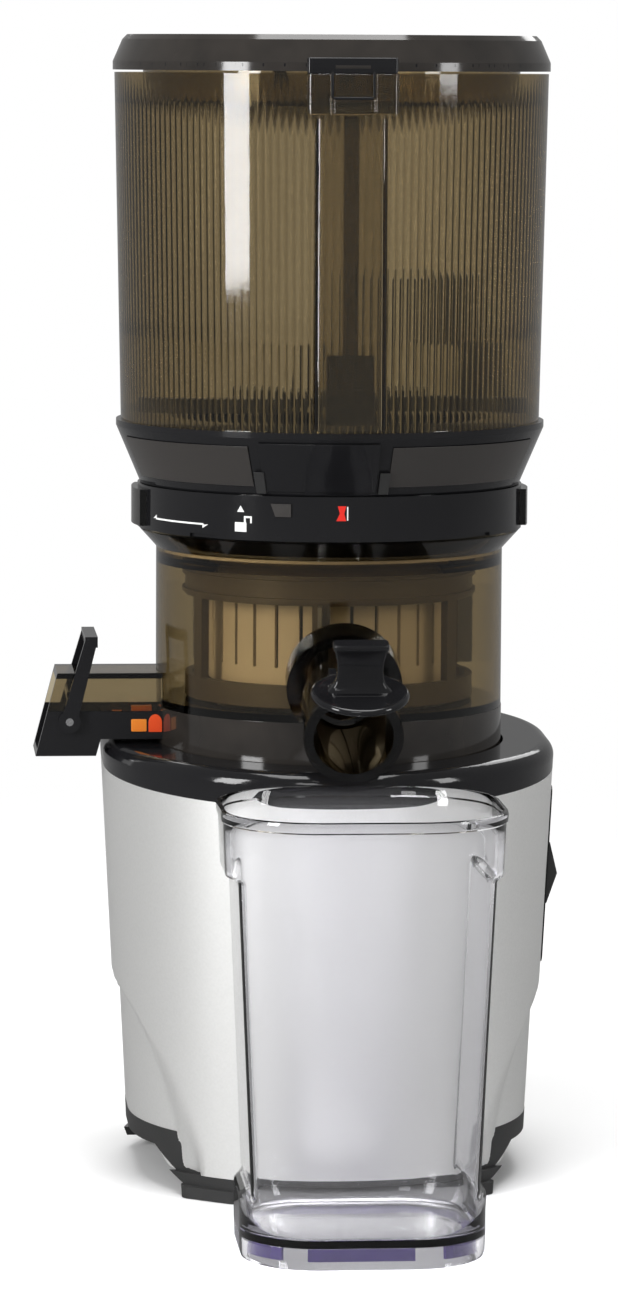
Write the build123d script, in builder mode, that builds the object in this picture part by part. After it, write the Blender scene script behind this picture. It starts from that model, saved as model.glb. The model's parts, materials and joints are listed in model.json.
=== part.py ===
from build123d import *
import math
import os

os.makedirs("parts", exist_ok=True)

# Vertical slow juicer with a wide hopper. Everything is drawn about the auger's axis: +Z up from the
# table, -Y towards the juice spout, -X towards the pulp chute. Lengths are in millimetres.

# ---- driving dimensions -------------------------------------------------------------------------
AXIS_X = 12.6                # auger axis, measured from the middle of the part's footprint
AXIS_Y = 44.6

SHELL_FOOT = 10.0            # lower edge of the painted base shell
SEAM = 172.0                 # height of the shell's upper seam beside the axis
SEAM_SLOPE = 0.07            # the seam rises towards the back
DECK = 183.0                 # height of the black deck beside the axis
DECK_SLOPE = 0.035
FOOT_RADIUS = 86.0           # half width of the shell at its lower edge
TAPER = 0.05123              # growth of that half width with height
STRETCH = 20.0               # how far the back half circle is set behind the front one
WALL = 2.5

POCKET_RADIUS = 73.4         # recess in the deck that the juicing bowl stands in
POCKET_FLOOR = 172.0
BOWL_RADIUS = 72.2
BOWL_FLOOR = 197.5
BOWL_RIM = 271.0
STRAINER_RADIUS = 50.0
STRAINER_FLOOR = 209.0
STRAINER_TOP = 264.0
RING_BOTTOM = 272.0          # bayonet ring between bowl and hopper
RING_TOP = 290.2
RING_RADIUS = 80.0
HOPPER_FOOT = 316.5
HOPPER_TOP = 460.2
HOPPER_FOOT_RADIUS = 87.0
HOPPER_TOP_RADIUS = 89.8
LID_RADIUS = 90.5
LID_TOP = 475.0
HINGE_Y = 95.0               # lid hinge, behind the hopper
HINGE_Z = 463.0

SPOUT_TILT = 19.5            # spout axis below horizontal
SPOUT_MOUTH = (0.0, -118.0, 197.5)
SPOUT_RADIUS = 19.0
SPOUT_BORE = 16.0
CAP_OPEN = 92.0              # the cap stands this far open, in degrees

CHUTE_HALF = 17.0            # half width of the pulp chute
GATE = (-109.0, 192.0)       # pulp gate pivot, x and z

MOTOR_Y = 12.0               # motor axis
IDLER_Y = 42.0               # intermediate gear axis
GEAR_PLATE = 82.0            # underside of the gearbox

CUP_Y = -152.0
CUP_HEIGHT = 176.0
RUN = 0.08                   # radial clearance of shafts in their bearings


# ---- helpers ------------------------------------------------------------------------------------
def save(piece, name):
    """Label a finished piece, move it into the part's frame and write it."""
    placed = piece.part.moved(Location((AXIS_X, AXIS_Y, 0)))
    placed.label = name
    export_step(placed, f"parts/{name}.step")


def turned(*points, mode=Mode.ADD):
    """Revolve a closed (radius, height) outline about the auger axis into the open part."""
    with BuildSketch(Plane.XZ) as outline:
        with BuildLine():
            Polyline(*points, close=True)
        make_face()
    revolve(outline.sketch, axis=Axis.Z, mode=mode)


def ring(outer, inner, low, high, centre=(0.0, 0.0), mode=Mode.ADD):
    """Upright ring or disc (inner = 0) between two heights."""
    with BuildSketch(Plane.XY.offset(low)) as outline:
        with Locations(centre):
            Circle(outer)
            if inner:
                Circle(inner, mode=Mode.SUBTRACT)
    extrude(outline.sketch, amount=high - low, mode=mode)


def block(x_span, y_span, z_span, mode=Mode.ADD):
    """Upright box between two values on each axis."""
    spans = (x_span, y_span, z_span)
    with Locations(tuple(sum(span) / 2 for span in spans)):
        Box(*(abs(span[1] - span[0]) for span in spans), mode=mode)


def side_profile(points, x_span, mode=Mode.ADD):
    """Extrude a closed (y, z) outline between two x values."""
    with BuildSketch(Plane.YZ.offset(x_span[0])) as outline:
        with BuildLine():
            Polyline(*points, close=True)
        make_face()
    extrude(outline.sketch, amount=x_span[1] - x_span[0], mode=mode)


def front_profile(points, y_span, mode=Mode.ADD):
    """Extrude a closed (x, z) outline between two y values."""
    with BuildSketch(Plane.XZ.offset(-y_span[1])) as outline:
        with BuildLine():
            Polyline(*points, close=True)
        make_face()
    extrude(outline.sketch, amount=y_span[1] - y_span[0], mode=mode)


def cross_pin(radius, x_span, y, z, mode=Mode.ADD):
    """Cylinder along X between two x values."""
    with BuildSketch(Plane.YZ.offset(x_span[0])) as outline:
        with Locations((y, z)):
            Circle(radius)
    extrude(outline.sketch, amount=x_span[1] - x_span[0], mode=mode)


def base_radius(height):
    """Half width of the tapered base at one height."""
    return FOOT_RADIUS + (height - SHELL_FOOT) * TAPER


def stadium(height, radius):
    """Plan outline of the base: two half circles joined by straight sides."""
    with BuildSketch(Plane.XY.offset(height)) as plan:
        with Locations((0, STRETCH / 2)):
            SlotCenterToCenter(STRETCH, 2 * radius, rotation=90)
    return plan.sketch


def base_block(low, high, inset, mode=Mode.ADD):
    """Tapered solid that follows the base's outside, set in by a distance."""
    ends = [stadium(z, base_radius(z) - inset).face() for z in (low, high)]
    loft(ends, ruled=True, mode=mode)


def gear_outline(teeth, module, phase=0.0, addendum=0.9, dedendum=1.25, play=0.25):
    """Corner points of a spur gear: four points up each 20 degree involute flank."""
    pitch = teeth * module / 2
    base = pitch * math.cos(math.radians(20))
    tip = pitch + addendum * module
    root = pitch - dedendum * module
    at_pitch = math.pi / (2 * teeth) - play / (2 * pitch)
    involute = math.tan(math.radians(20)) - math.radians(20)
    flank = [root] if root < base else []
    start = max(root, base)
    flank = flank + [start + (tip - start) * step / 3 for step in range(4)]
    points = []
    for tooth in range(teeth):
        centre = math.radians(phase) + 2 * math.pi * tooth / teeth
        half_angles = []
        for radius in flank:
            pressure = math.acos(min(1.0, base / radius))
            half_angles.append(at_pitch + involute - (math.tan(pressure) - pressure))
        for radius, half in zip(flank, half_angles):
            points.append((radius * math.cos(centre - half), radius * math.sin(centre - half)))
        for radius, half in reversed(list(zip(flank, half_angles))):
            points.append((radius * math.cos(centre + half), radius * math.sin(centre + half)))
    return points


def gear(points, low, high, centre=(0.0, 0.0), mode=Mode.ADD):
    """Extrude a gear outline between two heights."""
    shifted = [(x + centre[0], y + centre[1]) for x, y in points]
    with BuildSketch(Plane.XY.offset(low)) as outline:
        with BuildLine():
            Polyline(*shifted, close=True)
        make_face()
    extrude(outline.sketch, amount=high - low, mode=mode)


SEAM_PLANE = Plane(origin=(0, 0, SEAM), x_dir=(1, 0, 0), z_dir=(0, -SEAM_SLOPE, 1))
DECK_PLANE = Plane(origin=(0, 0, DECK), x_dir=(1, 0, 0), z_dir=(0, -DECK_SLOPE, 1))
DECK_UNDERSIDE = Plane(origin=(0, 0, DECK - 3.0), x_dir=(1, 0, 0), z_dir=(0, -DECK_SLOPE, 1))

# switch face: the flat right side of the shell, local x along +Y and local y up the taper
SWITCH_Z = 124.0
LEAN = math.atan(TAPER)
SWITCH_FACE = Plane(
    origin=(base_radius(SWITCH_Z), STRETCH / 2, SWITCH_Z),
    x_dir=(0, 1, 0),
    z_dir=(math.cos(LEAN), 0, -math.sin(LEAN)),
)
BEZEL_RISE = 1.2
GLAND_Z = 40.0
SCREW_SPOTS = [(50, -62), (-50, -62), (50, 82), (-50, 82)]

# ---- base ---------------------------------------------------------------------------------------
ARCH = [(-50, 0), (-50, 10), (-33, 24.5), (24, 24.5), (36, 10), (36, 0)]
ARCH_COVER = [(-58, -1), (-57, 5), (-38, 18), (28, 18), (43, 5), (44, -1)]
ARCH_PAN = [(-60, 7), (-59, 8), (-39, 21), (29, 21), (45, 8), (46, 7)]

with BuildPart() as base_shell:
    base_block(SHELL_FOOT, 186, 0)
    base_block(SHELL_FOOT - 1, 187, WALL, Mode.SUBTRACT)
    split(bisect_by=SEAM_PLANE, keep=Keep.BOTTOM)
    side_profile(ARCH, (-110, 110), Mode.SUBTRACT)
    for spot in SCREW_SPOTS:
        ring(5.0, 1.55, 26.0, 60.0, spot)
    with BuildSketch(SWITCH_FACE) as window:
        RectangleRounded(20.0, 70.0, 2.0)
    extrude(window.sketch, amount=8, both=True, mode=Mode.SUBTRACT)
    with BuildSketch(Plane.XZ.offset(-95.0)) as gland_hole:
        with Locations((0, GLAND_Z)):
            Circle(6.5)
    extrude(gland_hole.sketch, amount=-20, mode=Mode.SUBTRACT)
save(base_shell, "base_shell")

with BuildPart() as deck_hollow:
    base_block(149, 201, 3.0)
    split(bisect_by=DECK_UNDERSIDE, keep=Keep.BOTTOM)
    ring(POCKET_RADIUS + 3, 0, 140, 210, mode=Mode.SUBTRACT)

with BuildPart() as top_deck:
    base_block(150, 200, 0)
    split(bisect_by=SEAM_PLANE, keep=Keep.TOP)
    split(bisect_by=DECK_PLANE, keep=Keep.BOTTOM)
    fillet(top_deck.faces().sort_by(Axis.Z)[-1].edges(), radius=6.0)
    add(deck_hollow.part, mode=Mode.SUBTRACT)
    ring(POCKET_RADIUS + 3, 0, POCKET_FLOOR - 3, POCKET_FLOOR + 5)
    ring(POCKET_RADIUS + 3, 0, 140, POCKET_FLOOR - 3, mode=Mode.SUBTRACT)
    ring(POCKET_RADIUS, 0, POCKET_FLOOR, 200, mode=Mode.SUBTRACT)
    ring(9.0, 0, POCKET_FLOOR - 4, POCKET_FLOOR + 1, mode=Mode.SUBTRACT)
save(top_deck, "top_deck")

with BuildPart() as cover_hollow:
    base_block(8.0, 30.0, 5.4)
    side_profile([*ARCH_PAN, (46, 0), (-60, 0)], (-110, 110), Mode.SUBTRACT)

with BuildPart() as bottom_cover:
    base_block(5.0, 9.7, 0.6)
    base_block(9.7, 26.0, 2.9)
    side_profile(ARCH_COVER, (-110, 110), Mode.SUBTRACT)
    add(cover_hollow.part, mode=Mode.SUBTRACT)
    for spot in SCREW_SPOTS:
        ring(3.7, 0, 7.0, 26.0, spot)
        ring(1.55, 0, 4.0, 27.0, spot, Mode.SUBTRACT)
        ring(3.4, 0, 4.0, 8.0, spot, Mode.SUBTRACT)
save(bottom_cover, "bottom_cover")

with BuildPart() as feet:
    for x, y in SCREW_SPOTS:
        lean = math.degrees(math.atan2(x, -(y - STRETCH / 2)))
        with BuildSketch(Plane.XY):
            with Locations(Location((x, y, 0), (0, 0, 1), lean)):
                RectangleRounded(30.0, 14.0, 5.0)
        extrude(amount=5.0, taper=-4)
save(feet, "feet")

with BuildPart() as cover_screws:
    for spot in SCREW_SPOTS:
        ring(3.3, 0, 5.3, 8.0, spot)
        ring(1.5, 0, 8.0, 46.0, spot)
save(cover_screws, "cover_screws")

with BuildPart() as cord_gland:
    with BuildSketch(Plane.XZ.offset(-97.0)) as gland_tube:
        with Locations((0, GLAND_Z)):
            Circle(6.5)
    extrude(gland_tube.sketch, amount=-13.5)
    for start, depth in ((97.0, 3.0), (108.3, 2.2)):
        with BuildSketch(Plane.XZ.offset(-start)) as flange:
            with Locations((0, GLAND_Z)):
                Circle(9.0)
        extrude(flange.sketch, amount=-depth)
    with BuildSketch(Plane.XZ.offset(-96.0)) as gland_bore:
        with Locations((0, GLAND_Z)):
            Circle(3.6)
    extrude(gland_bore.sketch, amount=-20, mode=Mode.SUBTRACT)
save(cord_gland, "cord_gland")

# ---- power switch -------------------------------------------------------------------------------
ROCKER_WIDTH = 14.0
ROCKER_HALF = 13.0

with BuildPart() as switch_bezel:
    with BuildSketch(SWITCH_FACE.offset(-6.0)) as bezel_body:
        RectangleRounded(20.0, 70.0, 2.0)
    extrude(bezel_body.sketch, amount=6.0)
    with BuildSketch(SWITCH_FACE) as bezel_flange:
        RectangleRounded(24.0, 75.0, 3.0)
    extrude(bezel_flange.sketch, amount=BEZEL_RISE)
    with BuildSketch(SWITCH_FACE.offset(-7.0)) as rocker_window:
        RectangleRounded(ROCKER_WIDTH + 0.8, 2 * ROCKER_HALF + 2.4, 0.6)
    extrude(rocker_window.sketch, amount=9.0, mode=Mode.SUBTRACT)
    with Locations(SWITCH_FACE.offset(-1.0)):
        Cylinder(1.5 + RUN, 18.6, rotation=(90, 0, 90), mode=Mode.SUBTRACT)
save(switch_bezel, "switch_bezel")

with BuildPart() as power_switch:
    with BuildSketch(Plane(SWITCH_FACE.origin, x_dir=SWITCH_FACE.z_dir, z_dir=(0, -1, 0))) as wedge:
        with BuildLine():
            Polyline((-3.0, -12.5), (2.2, -ROCKER_HALF), (6.0, 0.0), (2.2, ROCKER_HALF), (-3.0, 12.5), close=True)
        make_face()
    extrude(wedge.sketch, amount=ROCKER_WIDTH / 2, both=True)
    with Locations(SWITCH_FACE.offset(-1.0)):
        Cylinder(1.5, 18.0, rotation=(90, 0, 90))
save(power_switch, "power_switch")

# ---- motor and gearbox --------------------------------------------------------------------------
MOTOR = (0.0, MOTOR_Y)
IDLER = (0.0, IDLER_Y)
CAN_RADIUS = 58.0
SHAFT_RADIUS = 4.0
OUTPUT_RADIUS = 6.0

with BuildPart() as motor_plate:
    ring(CAN_RADIUS, SHAFT_RADIUS + 7, 21.0, 25.0, MOTOR)
save(motor_plate, "motor_plate")

with BuildPart() as motor_can:
    ring(CAN_RADIUS, CAN_RADIUS - 2.5, 25.0, GEAR_PLATE, MOTOR)
    with Locations((0, MOTOR_Y, 29.0)):
        with PolarLocations(CAN_RADIUS - 2, 8):
            Box(12.0, 16.0, 4.4, mode=Mode.SUBTRACT)
save(motor_can, "motor_can")

with BuildPart() as motor_stator:
    ring(CAN_RADIUS - 2.5, 45.0, 35.0, 72.0, MOTOR)
    with Locations((0, MOTOR_Y, 53.5)):
        with PolarLocations(37.0, 6):
            Box(18.0, 12.0, 37.0)
        with PolarLocations(31.0, 6):
            Box(6.0, 24.0, 37.0)
    ring(28.4, 0, 34.0, 73.0, MOTOR, Mode.SUBTRACT)
save(motor_stator, "motor_stator")

with BuildPart() as motor_windings:
    for low, high in ((29.5, 35.0), (72.0, 77.5)):
        ring(44.8, 36.0, low, high, MOTOR)
save(motor_windings, "motor_windings")

with BuildPart() as shaft_bearings:
    ring(SHAFT_RADIUS + 7, SHAFT_RADIUS + RUN, 21.0, 27.0, MOTOR)
    ring(SHAFT_RADIUS + 6, SHAFT_RADIUS + RUN, GEAR_PLATE, 86.0, MOTOR)
    ring(OUTPUT_RADIUS + 6, OUTPUT_RADIUS + RUN, 120.0, 140.0)
save(shaft_bearings, "shaft_bearings")

with BuildPart() as rotor_shaft:
    ring(SHAFT_RADIUS, 0, 21.5, 86.3, MOTOR)
    gear(gear_outline(12, 1.0, 90.0), 86.3, 100.0, MOTOR)
save(rotor_shaft, "rotor_shaft")

with BuildPart() as rotor_core:
    ring(27.8, SHAFT_RADIUS, 36.0, 71.0, MOTOR)
    with Locations((0, MOTOR_Y, 53.5)):
        with PolarLocations(27.0, 24):
            Box(3.0, 1.6, 36.0, mode=Mode.SUBTRACT)
save(rotor_core, "rotor_core")

with BuildPart() as cooling_fan:
    ring(8.0, SHAFT_RADIUS, 74.0, 81.0, MOTOR)
    ring(34.5, SHAFT_RADIUS, 79.4, 81.0, MOTOR)
    with Locations((0, MOTOR_Y, 77.2)):
        with PolarLocations(20.0, 9, start_angle=10):
            Box(25.0, 1.4, 6.0, rotation=(0, 0, 25))
save(cooling_fan, "cooling_fan")

with BuildPart() as gearbox_housing:
    with BuildSketch(Plane.XY.offset(GEAR_PLATE)) as case_floor:
        with Locations((0, 12)):
            SlotCenterToCenter(46.0, 92.0, rotation=90)
    extrude(case_floor.sketch, amount=38.0)
    with BuildSketch(Plane.XY.offset(86.0)) as case_hollow:
        with Locations((0, 12)):
            SlotCenterToCenter(46.0, 86.0, rotation=90)
    extrude(case_hollow.sketch, amount=40.0, mode=Mode.SUBTRACT)
    ring(SHAFT_RADIUS + 6, 0, GEAR_PLATE - 1, 87.0, MOTOR, Mode.SUBTRACT)
    ring(3.0, 0, GEAR_PLATE - 1, 87.0, IDLER, Mode.SUBTRACT)
save(gearbox_housing, "gearbox_housing")

with BuildPart() as gearbox_lid:
    with BuildSketch(Plane.XY.offset(120.0)) as lid_plan:
        with Locations((0, 12)):
            SlotCenterToCenter(46.0, 92.0, rotation=90)
    extrude(lid_plan.sketch, amount=4.0)
    ring(OUTPUT_RADIUS + 9, 0, 124.0, 140.0)
    ring(OUTPUT_RADIUS + 6, 0, 119.0, 141.0, mode=Mode.SUBTRACT)
    ring(3.0, 0, 119.0, 125.0, IDLER, Mode.SUBTRACT)
save(gearbox_lid, "gearbox_lid")

with BuildPart() as idler_pin:
    ring(3.0, 0, GEAR_PLATE, 124.0, IDLER)
save(idler_pin, "idler_pin")

with BuildPart() as idler_gear:
    gear(gear_outline(48, 1.0, 270 + 360 / 96, addendum=0.6), 89.0, 99.0, IDLER)
    gear(gear_outline(14, 1.5, 270.0), 99.0, 115.0, IDLER)
    ring(3.0 + RUN, 0, 88.0, 116.0, IDLER, Mode.SUBTRACT)
save(idler_gear, "idler_gear")

with BuildPart() as output_gear:
    gear(gear_outline(42, 1.5, 90 + 360 / 84, addendum=0.6), 102.0, 114.0)
    ring(12.0, 0, 114.0, 118.0)
    ring(OUTPUT_RADIUS, 0, 101.0, 119.0, mode=Mode.SUBTRACT)
save(output_gear, "output_gear")

HEX_FLATS = 10.0
HEX_FOOT = 176.0
HEX_TOP = 196.0

with BuildPart() as drive_shaft:
    ring(OUTPUT_RADIUS, 0, 102.0, HEX_FOOT)
    with BuildSketch(Plane.XY.offset(HEX_FOOT)) as hex_plan:
        RegularPolygon(HEX_FLATS / 2, 6, major_radius=False)
    extrude(hex_plan.sketch, amount=HEX_TOP - HEX_FOOT)
    chamfer(drive_shaft.faces().sort_by(Axis.Z)[-1].edges(), length=1.2)
save(drive_shaft, "drive_shaft")

with BuildPart() as shaft_seal:
    ring(9.0, OUTPUT_RADIUS + RUN, POCKET_FLOOR - 3, POCKET_FLOOR + 1.5)
    ring(12.0, 9.0, POCKET_FLOOR, POCKET_FLOOR + 1.5)
save(shaft_seal, "shaft_seal")

with BuildPart() as control_board:
    block((-32, 32), (86.0, 87.6), (8.0, 92.0))
    block((-26, -8), (76.0, 86.0), (30.0, 52.0))
    for x in (2.0, 16.0):
        with BuildSketch(Plane.XZ.offset(-74.0)) as capacitor:
            with Locations((x, 62.0)):
                Circle(6.0)
        extrude(capacitor.sketch, amount=-12.0)
    block((4, 26), (80.0, 86.0), (20.0, 34.0))
save(control_board, "control_board")

# ---- juicing bowl -------------------------------------------------------------------------------
THROAT = 16.0                # tube round the drive shaft in the bowl's floor
SPOUT_AXIS = Plane(
    origin=SPOUT_MOUTH,
    x_dir=(1, 0, 0),
    z_dir=(0, -math.cos(math.radians(SPOUT_TILT)), -math.sin(math.radians(SPOUT_TILT))),
)                            # local y points up across the mouth, local z out of it
BRUSH_GEAR_LOW = 201.8
BRUSH_GEAR_HIGH = 207.8
BRUSH_MODULE = 1.25
BRUSH_IDLER_X = 32.5
BRUSH_OUT = 60.0
BRUSH_IN = 57.0

with BuildPart() as bowl:
    turned(
        (BOWL_RADIUS, BOWL_FLOOR), (BOWL_RADIUS, 263.5), (79.0, BOWL_RIM), (76.6, BOWL_RIM),
        (69.7, 264.4), (69.7, 262.0), (67.0, 262.0), (67.0, 260.5), (69.7, 257.0), (69.7, 200.5), (13.0, 200.5),
        (13.0, BOWL_FLOOR),
    )
    ring(THROAT, 12.6, 176.0, 201.2)
    ring(12.6, 0, 190, 205, mode=Mode.SUBTRACT)
    block((-49, -28), (-9, 9), (190, 202), Mode.SUBTRACT)
    with BuildSketch(SPOUT_AXIS.offset(-60.0)) as juice_hole:
        Circle(SPOUT_BORE - 2)
    extrude(juice_hole.sketch, amount=30.0, mode=Mode.SUBTRACT)
    ring(3.0, 0, 200.5, 208.6, (BRUSH_IDLER_X, 0))
save(bowl, "bowl")

with BuildPart() as bowl_skirt:
    ring(BOWL_RADIUS + 0.2, 69.9, POCKET_FLOOR + 0.3, BOWL_FLOOR)
    block((-70, -24), (-15, 15), (184.0, BOWL_FLOOR))
    block((-80, -26), (-13, 13), (186.5, BOWL_FLOOR + 1), Mode.SUBTRACT)
save(bowl_skirt, "bowl_skirt")

with BuildPart() as bowl_seal:
    ring(12.6, 11.5 + RUN, 186.0, 192.0)
save(bowl_seal, "bowl_seal")

with BuildPart() as juice_spout:
    with BuildSketch(SPOUT_AXIS.offset(-58.0)) as tube:
        Circle(SPOUT_RADIUS)
    extrude(tube.sketch, amount=58.0)
    with BuildSketch(SPOUT_AXIS.offset(-4.0)) as mouth_ring:
        Circle(SPOUT_RADIUS + 1)
    extrude(mouth_ring.sketch, amount=4.0)
    with BuildSketch(SPOUT_AXIS.offset(-58.0)) as root_flange:
        Circle(SPOUT_RADIUS + 4.5)
    extrude(root_flange.sketch, amount=13.0)
    with Locations(SPOUT_AXIS.offset(-4.0)):
        with Locations((0, 20.5, 0)):
            Box(14.4, 7.0, 6.4)
    with BuildSketch(SPOUT_AXIS.offset(-70.0)) as spout_bore:
        Circle(SPOUT_BORE)
    extrude(spout_bore.sketch, amount=80.0, mode=Mode.SUBTRACT)
    ring(BOWL_RADIUS + 0.2, 0, 150.0, 280.0, mode=Mode.SUBTRACT)
    with Locations(SPOUT_AXIS.offset(-4.0)):
        with Locations((0, 21.5, 0)):
            Cylinder(1.2, 40.0, rotation=(0, 90, 0), mode=Mode.SUBTRACT)
save(juice_spout, "juice_spout")

CHUTE_SPLIT = 196.0

with BuildPart() as pulp_chute:
    front_profile([(-70, CHUTE_SPLIT), (-118.17, CHUTE_SPLIT), (-114, 212), (-70, 212)], (-CHUTE_HALF, CHUTE_HALF))
    front_profile([(-60, 190), (-130, 190), (-130, 209.5), (-60, 209.5)],
                  (2.6 - CHUTE_HALF, CHUTE_HALF - 2.6), Mode.SUBTRACT)
    ring(BOWL_RADIUS + 0.2, 0, 150.0, 280.0, mode=Mode.SUBTRACT)
save(pulp_chute, "pulp_chute")

with BuildPart() as pulp_chute_base:
    front_profile(
        [(-70, 184.5), (-96, 184.5), (-98, 177.5), (-123, 177.5), (-118.17, CHUTE_SPLIT), (-70, CHUTE_SPLIT)],
        (-CHUTE_HALF, CHUTE_HALF),
    )
    front_profile(
        [(-60, 187.0), (-98.5, 187.0), (-100.5, 180.0), (-130, 180.0), (-130, 200), (-60, 200)],
        (2.6 - CHUTE_HALF, CHUTE_HALF - 2.6), Mode.SUBTRACT,
    )
    ring(BOWL_RADIUS + 0.2, 0, 150.0, 280.0, mode=Mode.SUBTRACT)
    with BuildSketch(Plane.XZ.offset(-30.0)) as gate_bore:
        with Locations(GATE):
            Circle(1.6 + RUN)
    extrude(gate_bore.sketch, amount=60.0, mode=Mode.SUBTRACT)
save(pulp_chute_base, "pulp_chute_base")

with BuildPart() as pulp_packing:
    block((-94, -73.5), (-13.9, 13.9), (187.0, 190.2))
    block((-90, -86), (-13.9, 13.9), (190.2, 193.0))
    for side in (-1, 1):
        block((-82, -73.5), (side * 10.5, side * 13.9), (190.2, 195.0))
save(pulp_packing, "pulp_packing")

ARM = CHUTE_HALF + 0.4

with BuildPart() as pulp_lever:
    for side in (-1, 1):
        with BuildSketch(Plane.XZ.offset(-side * ARM)) as arm_plan:
            with BuildLine():
                Polyline((-112.6, 190.4), (-111.6, 195.8), (-102.6, 226.0), (-97.4, 226.0), (-105.4, 193.6),
                         (-105.8, 188.6), close=True)
            make_face()
            with Locations(GATE):
                Circle(4.6)
                Circle(1.6, mode=Mode.SUBTRACT)
        extrude(arm_plan.sketch, amount=-side * 2.6)
    block((-102.6, -97.4), (-ARM - 2.6, ARM + 2.6), (223.0, 227.4))
save(pulp_lever, "pulp_lever")

with BuildPart() as pulp_gate:
    block((GATE[0] - 1, GATE[0] + 1), (-13.8, 13.8), (GATE[1] - 11.4, GATE[1] + 12.0))
    with BuildSketch(Plane.XZ.offset(-13.8)) as gate_boss:
        with Locations(GATE):
            Circle(2.8)
    extrude(gate_boss.sketch, amount=27.6)
    with BuildSketch(Plane.XZ.offset(-30.0)) as gate_pin_bore:
        with Locations(GATE):
            Circle(1.6)
    extrude(gate_pin_bore.sketch, amount=60.0, mode=Mode.SUBTRACT)
save(pulp_gate, "pulp_gate")

with BuildPart() as gate_pin:
    with BuildSketch(Plane.XZ.offset(-ARM - 2.6)) as pin_plan:
        with Locations(GATE):
            Circle(1.6)
    extrude(pin_plan.sketch, amount=2 * ARM + 5.2)
save(gate_pin, "gate_pin")

with BuildPart() as strainer:
    turned(
        (STRAINER_RADIUS, STRAINER_FLOOR), (STRAINER_RADIUS, 262.0), (68.9, 262.0), (68.9, STRAINER_TOP),
        (48.0, STRAINER_TOP), (48.0, STRAINER_FLOOR + 2.5), (15.4, STRAINER_FLOOR + 2.5),
        (15.4, STRAINER_FLOOR),
    )
    with Locations((0, 0, 236.0)):
        with PolarLocations(STRAINER_RADIUS - 1, 30):
            Box(6.0, 1.6, 38.0, mode=Mode.SUBTRACT)
    block((-46, -29), (-8, 8), (200.8, STRAINER_FLOOR))
    block((-44, -31), (-6.5, 6.5), (199, STRAINER_FLOOR + 3), Mode.SUBTRACT)
save(strainer, "strainer")

# ---- brush drive --------------------------------------------------------------------------------
with BuildPart() as brush_idler_gear:
    gear(gear_outline(32, BRUSH_MODULE, 360 / 64, addendum=0.8), BRUSH_GEAR_LOW, BRUSH_GEAR_HIGH,
         (BRUSH_IDLER_X, 0))
    ring(3.0 + RUN, 0, 200, 210, (BRUSH_IDLER_X, 0), Mode.SUBTRACT)
save(brush_idler_gear, "brush_idler_gear")

with BuildPart() as brush_frame:
    ring(BRUSH_OUT, 0, BRUSH_GEAR_LOW, BRUSH_GEAR_HIGH)
    gear(gear_outline(84, BRUSH_MODULE, 360 / 168, addendum=1.25, dedendum=0.85, play=-0.25),
         BRUSH_GEAR_LOW - 1, BRUSH_GEAR_HIGH + 1, mode=Mode.SUBTRACT)
    ring(BRUSH_OUT, BRUSH_IN, BRUSH_GEAR_HIGH, 211.0)
    with Locations((0, 0, 229.0)):
        with PolarLocations((BRUSH_OUT + BRUSH_IN) / 2, 6, start_angle=22.0):
            Box(3.0, 7.0, 38.0)
    ring(BRUSH_OUT, BRUSH_IN, 244.0, 259.0)
    for low in (245.2, 252.6, 257.2):
        ring(BRUSH_OUT + 1.2, BRUSH_OUT - 0.5, low, low + 1.6)
save(brush_frame, "brush_frame")

with BuildPart() as brush_blades:
    for index in range(3):
        angle = 22.0 + 120 * index
        with Locations(Location((0, 0, 0), (0, 0, 1), angle)):
            with Locations((BRUSH_OUT + 4.6, 0, 228.0)):
                Box(9.2, 1.6, 33.0)
            with Locations((BRUSH_IN - 3.3, 0, 228.0)):
                Box(6.6, 1.6, 33.0)
save(brush_blades, "brush_blades")

# ---- auger --------------------------------------------------------------------------------------
AUGER_LOW = STRAINER_FLOOR + 2.9
AUGER_HIGH = 262.0
AUGER_TURN = -400.0          # degrees that the screw's ridge winds over its height

with BuildSketch(Plane.XY.offset(AUGER_LOW)) as ridge_plan:
    Circle(27.0)
    for side in (-1, 1):
        with Locations((side * 28.0, 0)):
            Circle(17.0)
screw = Solid.extrude_linear_with_rotation(
    ridge_plan.sketch.face(), (0, 0, AUGER_LOW), (0, 0, AUGER_HIGH - AUGER_LOW), AUGER_TURN
)

with BuildPart() as auger:
    add(screw)
    ring(11.5, 0, 178.0, AUGER_LOW)
    ring(15.0, 0, STRAINER_FLOOR - 0.8, AUGER_LOW)
    gear(gear_outline(20, BRUSH_MODULE), BRUSH_GEAR_LOW, STRAINER_FLOOR - 0.8)
    turned((0, AUGER_HIGH), (22, AUGER_HIGH), (11, 280), (9, 317.6), (0, 317.6))
    with BuildSketch(Plane.XY.offset(317.0)) as neck_hex:
        RegularPolygon(4.0, 6, major_radius=False)
    extrude(neck_hex.sketch, amount=6.0)
    ring(8.5, 0, 170.0, 200.0, mode=Mode.SUBTRACT)
save(auger, "auger")

with BuildPart() as auger_socket:
    ring(8.5, 0, 178.0, 200.0)
    with BuildSketch(Plane.XY.offset(177.0)) as socket_plan:
        RegularPolygon(HEX_FLATS / 2 + 0.15, 6, major_radius=False)
    extrude(socket_plan.sketch, amount=HEX_TOP + 0.5 - 177.0, mode=Mode.SUBTRACT)
save(auger_socket, "auger_socket")

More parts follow.
